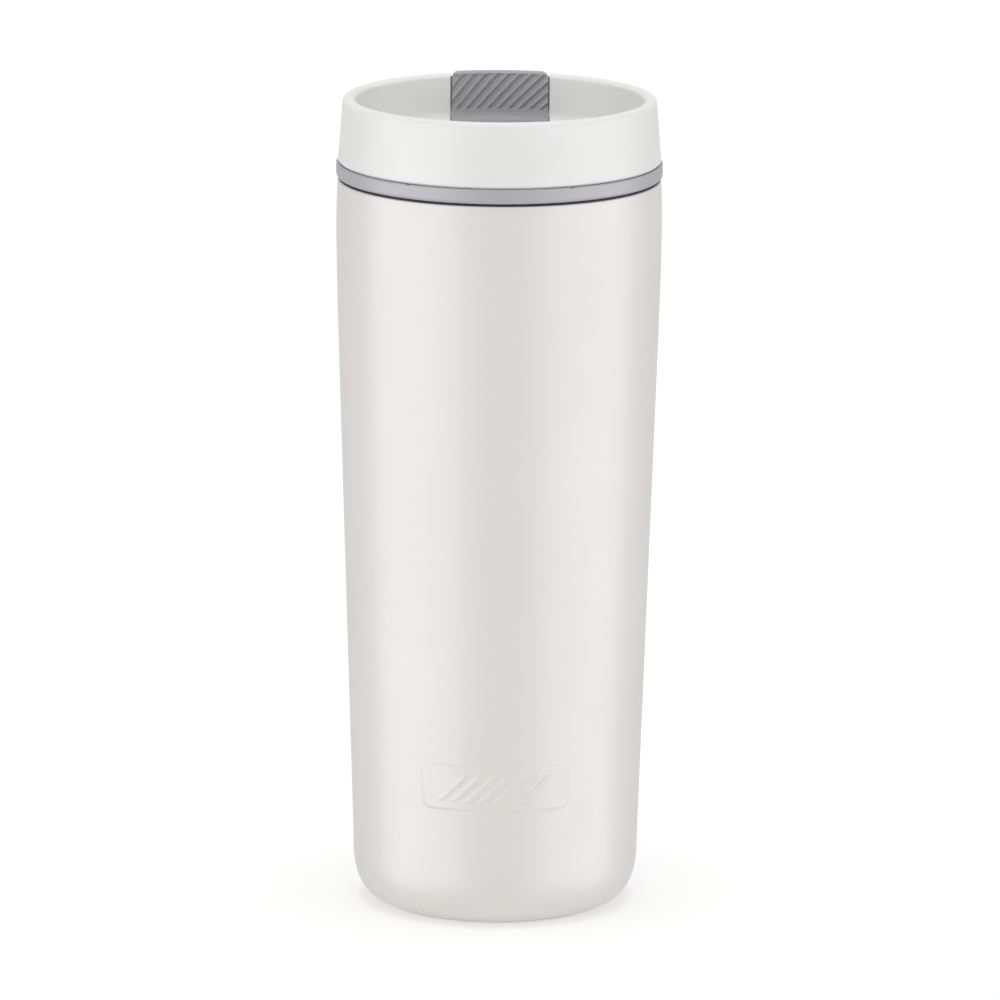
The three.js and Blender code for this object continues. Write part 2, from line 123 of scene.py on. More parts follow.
PAD_GROOVES = (20.5, 16.5, 12.5, 8.5)
PAD_GROOVE_DEPTH = 0.35
PAD_GROOVE_HALF = (0.7, 0.5)  # at its mouth and at its floor

STARTS = 3
THREAD_SWEEP = math.radians(96)
THREAD_FADE = math.radians(7)
THREAD_DEPTH = 1.0
THREAD_CREST = 0.45
THREAD_ROOT = 1.15
THREAD_Z = 165.5
THREAD_END_Z = 178
THREAD_ROW = 0.25
LID_THREAD_Z = THREAD_Z - LEAD / STARTS / 2

# ---- Sizes of the lid and lever ----

COLLAR_LOW = 186.74
COLLAR_RADIUS = 39.8
COLLAR_SLOPE = 0.078
SEAM = (39.3, 186.43)  # inside this radius the collar comes down to the plug
CROWN_RADIUS = 37.35
LIP_OUTER = (1.33, 1.4)
LIP_INNER = (1.85, 1.15)
DISH_RADIUS = 34.9
DISH_FILLET = 2.6
DISH_FLOOR = 190.7
PLUG_CORE = 33.6
PLUG_BORE = 31.4
PLUG_SEAT_RADIUS = 31
PLUG_FLANGE = 39.1
WEB_LOW, WEB_HIGH = 176.5, 178.3
OVERLAP, TROUGH_OVERLAP = 0.2, 0.3  # of parts of one moulding that run into each other
GASKET_GROOVE = (37, 184.1)
GASKET_INNER, GASKET_OUTER = 33.8, 36.8
# The gasket's lip reaches out nearly to the cup's edge: a dark sheet that paints the shade in the gap under the
# trim ring.
GASKET_SHADE_LIP = (39.45, 182.55)
GASKET_BEAD = (0.7, 0.12)  # half width and height of its sealing bead
NOTCH_ANGLES = (-33.8, 26.4)  # degrees from the front
NOTCH_DEPTH = 0.25
NOTCH_HALF, NOTCH_EDGE = 0.6, 0.3  # degrees
RING_COLUMNS = 1080
COLLAR_COLUMNS = 361

LEVER_HALF = 12.1
SLOT_HALF = 12.35
SLOT_EDGE = 0.2
SLOT_START_Y = 29.4
POCKET_Y = 30.4
TROUGH_FLOOR, TROUGH_LOW = 187.9, 186.5
ARM_LOW = 188.3
DRUM_RADIUS = 3.8
DRUM_HALF = 12.3
FLANGE_HALF, FLANGE_Y = 12.8, 36.2
FLANGE_LOW, FLANGE_HIGH = 193.3, 201.4
REBATE = ((-13.25, 34.9, 192.6), (13.25, 45, 201.75))
LEVER_EDGE = 0.3
ARM_EDGE = 0.3
WING_EDGE = 0.2
WING_OVERLAP = 0.7  # how far the flange and the drum run into the blade
LEVER_CUTS, FACE_ROWS = 300, 90
TAB_ROUND = 0.8
TAB_CORNER = 1.7
PORT_BORE, PORT_HOLE, CHIMNEY_RADIUS, CHIMNEY_TOP = 5.6, 7.35, 7.6, 184.3
VENT_BORE, VENT_CHIMNEY, VENT_TOP = 1.5, 3, 186.4

RIB_PITCH = 2.62  # along X
RIB_START = -0.22
RIB_LEAN = 0.98  # run over rise of a rib whose foot is at the middle of the tab
RIB_FAN = 0.011  # gain in lean for each mm that the foot is further right
RIB_DEPTH = 0.64
RIB_LOW, RIB_HIGH = 193.4, 202.3
RIB_EASE = (0.25, 0.25, 0.35)  # at the sides, the foot and the head of the ribs
RIB_PLACES = (0, 0.05, 0.25, 0.46, 0.68, 0.78, 1)  # shares of the pitch
RIB_HEIGHTS = (0, 0, 0.62, 0.48, 1, 1, 0)

# ---- Camera, floor and light ----

LENS = 314.4
CAMERA_PLACE = (0, -2.1188, 0.5621)
CAMERA_TURNS = (12.279, 0.018, 0.381)  # degrees of pitch, yaw and roll

FLOOR_HALF = 4
FLOOR_TONE = 0.58
FLOOR_GLOW = 0.4
SKY = 0.69
OVERHEAD = (0.36, 40)  # share of the white level, width in degrees
KEY = (0.06, 60)
PANEL_REACH = 1.1
PANEL_SIZE = (1.6, 1.2)
LEFT_PANEL = (-63, 6.7)  # degrees from the front, glow
RIGHT_PANEL = (69, 5.7)


# ---- Outline helpers ----


def ease(value):
    """0 to 1 with a soft start and end."""
    t = np.clip(value, 0, 1)
    return t * t * (3 - 2 * t)


def arc(centre, size, start, end, steps):
    """Points on an ellipse, angles in degrees, both ends included."""
    angles = np.radians(np.linspace(start, end, steps + 1))
    return [(centre[0] + size[0] * math.cos(a), centre[1] + size[1] * math.sin(a)) for a in angles]


def rounded(corners, steps=6):
    """An outline through corners (radius, height, rounding), each rounded corner swapped for an arc."""
    points = []
    for i, (x, z, rounding) in enumerate(corners):
        here = Vector((x, z))
        if rounding == 0:
            points.append(tuple(here))
            continue
        back = (Vector(corners[i - 1][:2]) - here).normalized()
        ahead = (Vector(corners[(i + 1) % len(corners)][:2]) - here).normalized()
        half = back.angle(ahead) / 2
        centre = here + (back + ahead).normalized() * rounding / math.sin(half)
        start = here + back * rounding / math.tan(half) - centre
        end = here + ahead * rounding / math.tan(half) - centre
        sweep = start.angle_signed(end)
        for step in range(steps + 1):
            turned = Matrix.Rotation(-sweep * step / steps, 2) @ start
            points.append(tuple(centre + turned))
    return points


def body_radius(z):
    """Outside radius of the cup above its base corner."""
    below = TAPER_EASE * np.log1p(np.exp((TAPER_TOP_Z - z) / TAPER_EASE))
    drawn = np.maximum(0, z - DRAW_IN_Z) / (BODY_TOP - DRAW_IN_Z)
    return SHOULDER_RADIUS - TAPER_SLOPE * below - DRAW_IN * drawn**2


def liner_radius(z):
    return body_radius(z) - STEEL_WALL - VACUUM_GAP


def collar_radius(z):
    return COLLAR_RADIUS - COLLAR_SLOPE * (z - COLLAR_LOW)


# ---- Mesh helpers ----


def grid_quads(rows, columns, close_rows=False, close_columns=False):
    """Quads between neighbouring points of a rows by columns grid."""
    index = np.arange(rows * columns).reshape(rows, columns)
    if close_rows:
        index = np.vstack([index, index[:1]])
    if close_columns:
        index = np.hstack([index, index[:, :1]])
    corners = (index[:-1, :-1], index[:-1, 1:], index[1:, 1:], index[1:, :-1])
    return np.stack([c.ravel() for c in corners], axis=1).tolist()


def revolve(outline, columns=160, relief=None, closed=True, centre_y=0.0):
    """Turns (radius, height) points about an upright axis. Relief gives each point a radial offset."""
    angles = np.linspace(0, TURN, columns, endpoint=False) if np.isscalar(columns) else columns
    radius = np.array([p[0] for p in outline])[:, None] + 0 * angles[None, :]
    height = np.array([p[1] for p in outline])[:, None] + 0 * angles[None, :]
    if relief:
        radius = radius + relief(radius, height, angles[None, :])
    points = np.stack([radius * np.cos(angles), radius * np.sin(angles) + centre_y, height], axis=2)
    return points.reshape(-1, 3), grid_quads(len(outline), len(angles), closed, True)


def joined(*shapes):
    """Several (points, faces) shapes as one."""
    points, faces, offset = [], [], 0
    for shape_points, shape_faces in shapes:
        points.append(np.asarray(shape_points, float))
        faces += [[i + offset for i in face] for face in shape_faces]
        offset += len(shape_points)
    return np.vstack(points), faces


def circle(centre_y, radius, steps=48):
    angles = np.linspace(0, TURN, steps, False)
    return [(radius * math.cos(a), centre_y + radius * math.sin(a)) for a in angles]


def pierced_plate(outline, holes, bottom, top):
    """A flat plate with holes, from loops of (x, y) points."""
    mesh = bmesh.new()
    for z in (bottom, top):
        edges = []
        for loop in (outline, *holes):
            ring = [mesh.verts.new((x, y, z)) for x, y in loop]
            edges += [mesh.edges.new((ring[i - 1], ring[i])) for i in range(len(ring))]
        bmesh.ops.triangle_fill(mesh, edges=edges, use_beauty=True)
    mesh.verts.index_update()
    count = len(mesh.verts) // 2
    points = np.array([v.co for v in mesh.verts])
    faces = [[v.index for v in face.verts] for face in mesh.faces]
    mesh.free()
    first = 0
    for loop in (outline, *holes):
        for i in range(len(loop)):
            a, b = first + i, first + (i + 1) % len(loop)
            faces.append([a, b, b + count, a + count])
        first += len(loop)
    return points, faces


def plain_object(name, points, faces):
    mesh = bpy.data.meshes.new(name)
    mesh.from_pydata(np.asarray(points, float).tolist(), [], faces)
    thing = bpy.data.objects.new(name, mesh)
    bpy.context.scene.collection.objects.link(thing)
    return thing


def box_shape(low_corner, high_corner):
    points = [(x, y, z) for x in (0, 1) for y in (0, 1) for z in (0, 1)]
    faces = [[0, 1, 3, 2], [4, 6, 7, 5], [0, 4, 5, 1], [2, 3, 7, 6], [0, 2, 6, 4], [1, 5, 7, 3]]
    size = np.subtract(high_corner, low_corner)
    return np.array(points) * size + low_corner, faces


def without(shape, tool):
    """A closed shape with another cut out of it."""
    base, cutter = plain_object("base", *shape), plain_object("cutter", *tool)
    cut = base.modifiers.new("cut", "BOOLEAN")
    cut.operation = "DIFFERENCE"
    cut.solver = "EXACT"
    cut.object = cutter
    result = base.evaluated_get(bpy.context.evaluated_depsgraph_get()).to_mesh()
    points = np.array([v.co for v in result.vertices])
    faces = [list(face.vertices) for face in result.polygons]
    for thing in (base, cutter):
        bpy.data.objects.remove(thing)
    return points, faces


def lofted(slices):
    """Closed outlines of equal length joined one after the other, with flat ends."""
    across = len(slices[0])
    faces = grid_quads(len(slices), across, False, True)
    faces.append(list(range(across)))
    faces.append([(len(slices) - 1) * across + i for i in range(across)])
    return np.array(slices, float).reshape(-1, 3), faces


def piece(name, shape, body, finish, stands_for, sharp_degrees=38):
    """A finished mesh object that rides on a CAD body and replaces a CAD node."""
    points, faces = shape
    mesh = bpy.data.meshes.new(name)
    mesh.from_pydata((np.asarray(points) * MM).tolist(), [], faces)
    work = bmesh.new()
    work.from_mesh(mesh)
    bmesh.ops.remove_doubles(work, verts=work.verts, dist=2e-7)
    bmesh.ops.dissolve_degenerate(work, edges=work.edges, dist=1e-7)
    bmesh.ops.recalc_face_normals(work, faces=work.faces)
    work.to_mesh(mesh)
    work.free()
    mesh.shade_smooth()
    mesh.set_sharp_from_angle(angle=math.radians(sharp_degrees))
    mesh.materials.append(finish)
    thing = bpy.data.objects.new(name, mesh)
    bpy.context.scene.collection.objects.link(thing)
    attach(thing, body)
    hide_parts(stands_for)
    return thing


# ---- Finishes ----


class Finish:
    """A node material being built: noise and bumps over a Principled shader."""

    def __init__(self, name, colour, roughness, metallic=0.0, **sockets):
        self.material = bpy.data.materials.new(name)
        self.material.use_nodes = True
        self.tree = self.material.node_tree
        self.shader = self.tree.nodes["Principled BSDF"]
        self.colour = colour
        self.roughness = roughness
        self.shader.inputs["Base Color"].default_value = (*colour, 1)
        self.shader.inputs["Roughness"].default_value = roughness
        self.shader.inputs["Metallic"].default_value = metallic
        for socket, value in sockets.items():
            self.shader.inputs[socket.replace("_", " ")].default_value = value
        self.coordinates = self.tree.nodes.new("ShaderNodeTexCoord").outputs["Object"]
        self.normal = None

    def noise(self, size_mm, detail=2.0, stretch=(1, 1, 1)):
        """A noise pattern whose features are about size_mm across, drawn out along the axes by stretch."""
        mapping = self.tree.nodes.new("ShaderNodeMapping")
        mapping.inputs["Scale"].default_value = [1 / (size_mm * MM * s) for s in stretch]
        noise = self.tree.nodes.new("ShaderNodeTexNoise")
        noise.inputs["Scale"].default_value = 1
        noise.inputs["Detail"].default_value = detail
        self.tree.links.new(self.coordinates, mapping.inputs["Vector"])
        self.tree.links.new(mapping.outputs["Vector"], noise.inputs["Vector"])
        return noise.outputs["Fac"]

    def ramp(self, value, low_colour, high_colour, start=0.3, end=0.7):
        node = self.tree.nodes.new("ShaderNodeValToRGB")
        node.color_ramp.elements[0].position = start
        node.color_ramp.elements[1].position = end
        node.color_ramp.elements[0].color = (*low_colour, 1)
        node.color_ramp.elements[1].color = (*high_colour, 1)
        self.tree.links.new(value, node.inputs["Fac"])
        return node.outputs["Color"]

    def vary_colour(self, value, spread):
        """Lightens and darkens the colour a little with a pattern."""
        dark = [c * (1 - spread) for c in self.colour]
        light = [min(1, c * (1 + spread)) for c in self.colour]
        self.tree.links.new(self.ramp(value, dark, light), self.shader.inputs["Base Color"])
        return self

    def vary_roughness(self, value, spread):
        node = self.tree.nodes.new("ShaderNodeMapRange")
        node.inputs["From Min"].default_value = 0.3
        node.inputs["From Max"].default_value = 0.7
        node.inputs["To Min"].default_value = self.roughness - spread
        node.inputs["To Max"].default_value = self.roughness + spread
        self.tree.links.new(value, node.inputs["Value"])
        self.tree.links.new(node.outputs["Result"], self.shader.inputs["Roughness"])
        return self

    def bump(self, value, height_mm, strength=1.0):
        """Adds relief of a height on top of any relief so far."""
        node = self.tree.nodes.new("ShaderNodeBump")
        node.inputs["Strength"].default_value = strength
        node.inputs["Distance"].default_value = height_mm * MM
        self.tree.links.new(value, node.inputs["Height"])
        if self.normal:
            self.tree.links.new(self.normal, node.inputs["Normal"])
        self.normal = node.outputs["Normal"]
        self.tree.links.new(self.normal, self.shader.inputs["Normal"])
        return self


def white_coat():
    """Satin powder coat on steel: a soft orange peel and a faint drift of tone."""
    f = Finish("white_coat", (0.723, 0.696, 0.674), 0.40, Specular_IOR_Level=0.35)
    f.vary_colour(f.noise(35, 3), 0.012)
    f.vary_roughness(f.noise(6, 3), 0.03)
    f.bump(f.noise(0.9, 1), 0.012)
    return f.bump(f.noise(0.22, 2), 0.003).material


def moulded(name, colour, roughness, grain_mm=0.35, grain_height=0.006, **sockets):
    """Moulded plastic: fine spark grain, slight sink marks and uneven gloss."""
    f = Finish(name, colour, roughness, **sockets)
    f.vary_colour(f.noise(18, 2), 0.015)
    f.vary_roughness(f.noise(2.5, 3), 0.035)
    f.bump(f.noise(9, 1), 0.02)
    return f.bump(f.noise(grain_mm, 2), grain_height).material


def brushed_steel():
    """Steel turned on a lathe: fine rings round the axis over a broader variation."""
    f = Finish("steel", (0.60, 0.60, 0.60), 0.30, 1.0)
    rings = f.noise(0.25, 3, (400, 400, 1))
    f.vary_colour(f.noise(14, 2), 0.04)
    f.vary_roughness(rings, 0.09)
    return f.bump(rings, 0.004).material


def silicone():
    f = Finish("silicone", (0.74, 0.745, 0.75), 0.48, Subsurface_Weight=0.25, Subsurface_Scale=0.002)
    f.vary_colour(f.noise(5, 2), 0.02)
    f.vary_roughness(f.noise(1.2, 3), 0.05)
    return f.bump(f.noise(0.3, 2), 0.004).material


def rubber(name, colour, roughness, **sockets):
    f = Finish(name, colour, roughness, **sockets)
    f.vary_colour(f.noise(4, 3), 0.08)
    f.vary_roughness(f.noise(1.0, 3), 0.06)
    return f.bump(f.noise(0.4, 3), 0.02).material


def copper_foil():
    f = Finish("copper_foil", (0.75, 0.38, 0.22), 0.28, 1.0)
    f.vary_roughness(f.noise(6, 3), 0.08)
    return f.bump(f.noise(7, 4), 0.25).material


def sintered_metal(name, colour, roughness):
    f = Finish(name, colour, roughness, 1.0)
    f.vary_colour(f.noise(0.5, 3), 0.2)
    return f.bump(f.noise(0.3, 3), 0.03).material


def closed_cell_foam():
    f = Finish("foam", (0.86, 0.84, 0.79), 0.9)
    f.vary_colour(f.noise(1.2, 3), 0.04)
    return f.bump(f.noise(0.8, 2), 0.15).material


WHITE_COAT = white_coat()
WHITE_PLASTIC = moulded("white_plastic", (0.79, 0.79, 0.775), 0.45, 0.3, 0.003, Specular_IOR_Level=0.25)
RING_PLASTIC = moulded("light_grey_plastic", (0.406, 0.402, 0.432), 0.45, Specular_IOR_Level=0.35)
LEVER_PLASTIC = moulded("grey_plastic", (0.355, 0.35, 0.37), 0.48)
STEEL = brushed_steel()
SILICONE = silicone()
PAD_RUBBER = rubber("pad_rubber", (0.12, 0.12, 0.125), 0.72)
# Near-black: the gasket's own black rubber, taken darker still so that the gap under the trim ring shows as
# painted shade.
SEAL_RUBBER_AND_GAP_SHADE = rubber("seal_rubber", (0.015, 0.015, 0.017), 0.7, Specular_IOR_Level=0.2)


# ---- The cup ----


def plaque_relief(radius, height, angle):
    """A soft-edged rounded plaque at the front with a row of slanted bars."""
    across = (angle + math.pi / 2 + math.pi) % TURN - math.pi
    across = across * body_radius(PLAQUE_Z)
    up = height - PLAQUE_Z
    beyond_x = np.abs(across) - (PLAQUE_HALF[0] - PLAQUE_CORNER)
    beyond_y = np.abs(up) - (PLAQUE_HALF[1] - PLAQUE_CORNER)
    corner = np.hypot(np.maximum(beyond_x, 0), np.maximum(beyond_y, 0))
    inside = PLAQUE_CORNER - corner - np.minimum(np.maximum(beyond_x, beyond_y), 0)
    plate = PLAQUE_RISE * ease(inside / PLAQUE_EDGE)
    slanted = across - up
    nearest = np.abs(slanted - BAR_PITCH * np.round(slanted / BAR_PITCH))
    bar = ease((BAR_HALF_WIDTH - nearest) / BAR_EDGE + 0.5)
    bar = bar * ease((BAR_HALF_HEIGHT - np.abs(up)) / BAR_EDGE + 0.5)
    bar = bar * ease((BAR_SPAN - np.abs(slanted)) / BAR_EDGE + 0.5)
    outside = radius > body_radius(height) - STEEL_WALL / 2
    return (plate + BAR_RISE * bar) * outside


def front_dense_angles():
    """Columns round the cup, close together behind the plaque and wider apart elsewhere."""
    half = math.radians(FRONT_HALF)
    front = np.linspace(-half, half, FRONT_COLUMNS)
    rest = np.linspace(half, TURN - half, BACK_COLUMNS + 2)[1:-1]
    return np.concatenate([front, rest]) - math.pi / 2


def body_corner(inset, steps):
    """The soft base corner from the foot up, drawn in by an inset."""
    wall = body_radius(CORNER_HEIGHT)
    softness = 2 / CORNER_POWER
    rise = CORNER_HEIGHT - FOOT_Z
    return [
        (
            wall - CORNER_WIDTH * (1 - math.sin(a) ** softness) - inset * math.sin(a),
            FOOT_Z + rise * (1 - math.cos(a) ** softness) + inset * math.cos(a),
        )
        for a in np.linspace(CORNER_START, math.pi / 2, steps)
    ]


def wall_rows():
    """Heights of the rows up the wall: close together at the plaque and at the shoulder."""
    low_row, high_row = PLAQUE_Z - CLOSE_ROWS_HALF, PLAQUE_Z + CLOSE_ROWS_HALF
    below = np.arange(CORNER_HEIGHT + 2, low_row, 2.0)
    plaque = np.arange(low_row, high_row, 0.2)
    above = np.arange(high_row, SHOULDER_ROWS_Z, 4.0)
    shoulder = np.linspace(SHOULDER_ROWS_Z, BODY_TOP - 0.7, 26)
    return np.concatenate([below, plaque, above, shoulder])


def outer_shell():
    """Coated steel wall with the plaque, turned in over the liner's mouth and under the foot."""
    side = [(body_radius(z), z) for z in wall_rows()]
    inside = [(body_radius(z) - STEEL_WALL, z) for z in np.linspace(BODY_TOP - 3, 20, 16)]
    edge = body_radius(BODY_TOP)
    mouth = NECK_RADIUS + 0.1
    lip = rounded(
        [
            (edge, BODY_TOP - 4, 0),
            (edge, BODY_TOP, 0.3),
            (mouth, BODY_TOP, 0.12),
            (mouth, BODY_TOP - STEEL_WALL, 0),
            (edge - STEEL_WALL, BODY_TOP - STEEL_WALL, 0.3),
            (edge - STEEL_WALL, BODY_TOP - 4, 0),
        ]
    )[1:-1]
    foot = [(RECESS_RADIUS + STEEL_WALL, FOOT_Z + STEEL_WALL), (RECESS_RADIUS + STEEL_WALL, RECESS_Z)]
    foot_edge = (RECESS_RADIUS + FOOT_EDGE, FOOT_Z + FOOT_EDGE)
    outline = [(RECESS_RADIUS, RECESS_Z), *arc(foot_edge, (FOOT_EDGE, FOOT_EDGE), 180, 270, 5)]
    outline += [*body_corner(0, 40), *side, *lip, *inside, *reversed(body_corner(STEEL_WALL, 12)), *foot]
    shape = revolve(outline, front_dense_angles(), plaque_relief)
    return piece("shell_coat", shape, "mug_body", WHITE_COAT, "outer_shell")


def thread_height(height, angle, bottom):
    """How much of a ridge stands at each point, from 0 to 1."""
    most = 0 * height * angle
    for start in range(STARTS):
        turn = (angle - start * TURN / STARTS) % TURN
        offset = np.abs(height - bottom - LEAD * turn / TURN)
        flank = ease((THREAD_ROOT - offset) / (THREAD_ROOT - THREAD_CREST))
        ends = ease(turn / THREAD_FADE) * ease((THREAD_SWEEP - turn) / THREAD_FADE)
        most = np.maximum(most, flank * ends)
    return most


def liner_thread(radius, height, angle):
    inner = radius < NECK_RADIUS - STEEL_WALL + 0.05
    return -THREAD_DEPTH * thread_height(height, angle, THREAD_Z) * inner


def inner_liner():
    """Steel cup with a straight neck, whose thread is pressed in from outside."""
    mouth = NECK_RADIUS - STEEL_WALL
    corner_z = LINER_BOTTOM + LINER_CORNER
    corner_x = liner_radius(corner_z) - LINER_CORNER
    inner_corner = arc((corner_x, corner_z), (LINER_CORNER - STEEL_WALL,) * 2, -90, 0, 14)
    outer_corner = arc((corner_x, corner_z), (LINER_CORNER,) * 2, 0, -90, 8)
    wall_low, wall_high = LINER_WALL_Z
    wall = [(liner_radius(z) - STEEL_WALL, z) for z in np.linspace(wall_low, wall_high, 30)]
    thread = [(mouth, z) for z in np.arange(NECK_BOTTOM_Z, THREAD_END_Z, THREAD_ROW)]
    rim = rounded(
        [
            (mouth, BODY_TOP - 2, 0),
            (mouth, BODY_TOP, 0.24),
            (NECK_RADIUS, BODY_TOP, 0.24),
            (NECK_RADIUS, BODY_TOP - 2, 0),
        ]
    )
    outer = [(NECK_RADIUS, NECK_BOTTOM_Z)]
    outer += [(liner_radius(z), z) for z in np.linspace(wall_high, wall_low, 12)]
    outline = [(0, LINER_BOTTOM + STEEL_WALL), *inner_corner, *wall, *thread, *rim, *outer, *outer_corner]
    outline.append((0, LINER_BOTTOM))
    shape = revolve(outline, 240, liner_thread, closed=False)
    return piece("liner_steel", shape, "mug_body", STEEL, "inner_liner")


def base_pad():
    """Rubber disc with round grooves in its underside."""
    radius = high("base_pad").x
    top = high("base_pad").z
    mouth, floor_half = PAD_GROOVE_HALF
    grooves = []
    for middle in PAD_GROOVES:
        grooves += [(middle + mouth, 0, 0.2), (middle + floor_half, PAD_GROOVE_DEPTH, 0.1)]
        grooves += [(middle - floor_half, PAD_GROOVE_DEPTH, 0.1), (middle - mouth, 0, 0.2)]
    outline = rounded([(0, top, 0), (radius, top, 0.3), (radius, 0, 0.4), *grooves, (0, 0, 0)], 3)
    shape = revolve(outline, 144, closed=False)
    return piece("pad_disc", shape, "mug_body", PAD_RUBBER, "base_pad")


# ---- The lid ----


def lid_gasket():
    """Dark ring with a sealing bead underneath and a thin lip that reaches out under the trim ring, carried out as
    a dark sheet that paints the shade in the gap below the ring.
    """
    bottom, top = low("lid_gasket").z, high("lid_gasket").z
    bead_half, bead_height = GASKET_BEAD
    face = bottom + bead_height
    bead = (GASKET_INNER + GASKET_OUTER) / 2
    corners = [
        (GASKET_INNER, face, 0.1),
        (bead - bead_half, face, 0.05),
        (bead, bottom, 0.3),
        (bead + bead_half, face, 0.05),
        (GASKET_OUTER, face, 0.05),
        (GASKET_OUTER, bottom, 0.05),
        (GASKET_SHADE_LIP[0], bottom, 0.08),
        (*GASKET_SHADE_LIP, 0.08),
        (GASKET_OUTER, GASKET_SHADE_LIP[1], 0.05),
        (GASKET_OUTER, top, 0.2),
        (GASKET_INNER, top, 0.2),
    ]
    shape = revolve(rounded(corners, 4))
    return piece("gasket_ring", shape, "gasket", SEAL_RUBBER_AND_GAP_SHADE, "lid_gasket")


def notched(points):
    """The ring's points with two small release notches in its upper edge."""
    angle = np.degrees(np.arctan2(points[:, 0], -points[:, 1]))
    top = points[:, 2] > RING_HIGH - NOTCH_DEPTH
    for place in NOTCH_ANGLES:
        near = ease((NOTCH_HALF - np.abs(angle - place)) / NOTCH_EDGE + 0.5)
        points[:, 2] -= NOTCH_DEPTH * near * top
    return points


def trim_ring():
    """Band with a soft lower edge, clipped round the plug's flange."""
    inner = PLUG_FLANGE + 0.1
    corners = [
        (inner, RING_LOW, 0.1),
        (RING_RADIUS, RING_LOW, 1.0),
        (RING_RADIUS, RING_HIGH, 0.35),
        (inner, RING_HIGH, 0.1),
    ]
    points, faces = revolve(rounded(corners, 8), RING_COLUMNS)
    shape = (notched(points), faces)
    return piece("ring_band", shape, "lid", RING_PLASTIC, "trim_ring")


def plug_thread(radius, height, angle):
    outer = (radius > PLUG_CORE - 0.1) & (height < THREAD_END_Z)
    return THREAD_DEPTH * thread_height(height, angle, LID_THREAD_Z) * outer


def lid_plug():
    """Threaded skirt with a flange, a pierced web and two chimneys."""
    flange_top = RING_HIGH - 0.05
    groove_radius, groove_top = GASKET_GROOVE
    thread = [(PLUG_CORE, z, 0) for z in np.arange(PLUG_LOW + 1.2, THREAD_END_Z, THREAD_ROW)]
    corners = [
        (PLUG_BORE, WEB_HIGH, 0),
        (PLUG_BORE, PLUG_LOW, 0.5),
        (PLUG_CORE, PLUG_LOW, 0.7),
        *thread,
        (PLUG_CORE, groove_top, 0.2),
        (groove_radius, groove_top, 0.1),
        (groove_radius, RING_LOW, 0.2),
        (PLUG_FLANGE, RING_LOW, 0.3),
        (PLUG_FLANGE, flange_top, 0.2),
        (PLUG_SEAT_RADIUS, flange_top, 0.2),
        (PLUG_SEAT_RADIUS, WEB_HIGH, 0),
    ]
    skirt = revolve(rounded(corners, 4), 240, plug_thread)
    holes = [circle(PORT_Y, PORT_BORE), circle(VENT_Y, VENT_BORE, 24)]
    web = pierced_plate(circle(0, PLUG_BORE + OVERLAP, 120), holes, WEB_LOW, WEB_HIGH)
    tube_low = WEB_LOW + OVERLAP
    port = revolve(tube_outline(PORT_BORE, CHIMNEY_RADIUS, tube_low, CHIMNEY_TOP), 64, centre_y=PORT_Y)
    vent = revolve(tube_outline(VENT_BORE, VENT_CHIMNEY, tube_low, VENT_TOP), 40, centre_y=VENT_Y)
    shape = joined(skirt, web, port, vent)
    return piece("plug_body", shape, "lid", LEVER_PLASTIC, "lid_plug")


def tube_outline(inner, outer, bottom, top):
    return rounded([(inner, bottom, 0), (outer, bottom, 0), (outer, top, 0.3), (inner, top, 0.3)], 4)


def rim_section():
    """The collar's visible section, from the skirt's edge over the crown and down to the dish's floor."""
    outer_z = CROWN_Z - LIP_OUTER[1]
    inner_z = CROWN_Z - LIP_INNER[1]
    side = [(collar_radius(z), z) for z in np.linspace(COLLAR_LOW + 0.3, outer_z - 0.4, 10)]
    fillet = (DISH_RADIUS - DISH_FILLET, DISH_FLOOR + DISH_FILLET)
    return [
        *arc((COLLAR_RADIUS - 0.25, COLLAR_LOW + 0.25), (0.25, 0.25), -90, 0, 4),
        *side,
        *arc((CROWN_RADIUS, outer_z), LIP_OUTER, 0, 90, 12),
        *arc((CROWN_RADIUS, inner_z), LIP_INNER, 90, 180, 14)[1:],
        *arc(fillet, (DISH_FILLET, DISH_FILLET), 0, -90, 14),
    ]


def section_normals(section):
    """Outward unit normals of a section, in (radius, height)."""
    line = np.array(section)
    along = np.gradient(line, axis=0)
    normals = np.stack([along[:, 1], -along[:, 0]], axis=1)
    return normals / np.linalg.norm(normals, axis=1)[:, None]


def split_ring(radius, height, edge_x, share):
    """A point on a ring open at +Y, whose ends stand at x = edge_x. Share runs from 0 to 1 between them."""
    gap = math.asin(edge_x / radius)
    angle = gap + share * (TURN - 2 * gap)
    return radius * math.sin(angle), radius * math.cos(angle), height


def trough_path(half, share):
    """A point on the trough's edge in plan: down one side, round the port and back."""
    straight = SLOT_START_Y - PORT_Y
    bend = math.pi * half
    run = share * (2 * straight + bend)
    if run < straight:
        return half, SLOT_START_Y - run
    if run > straight + bend:
        return -half, PORT_Y + run - straight - bend
    angle = (run - straight) / half
    return half * math.cos(angle), PORT_Y - half * math.sin(angle)


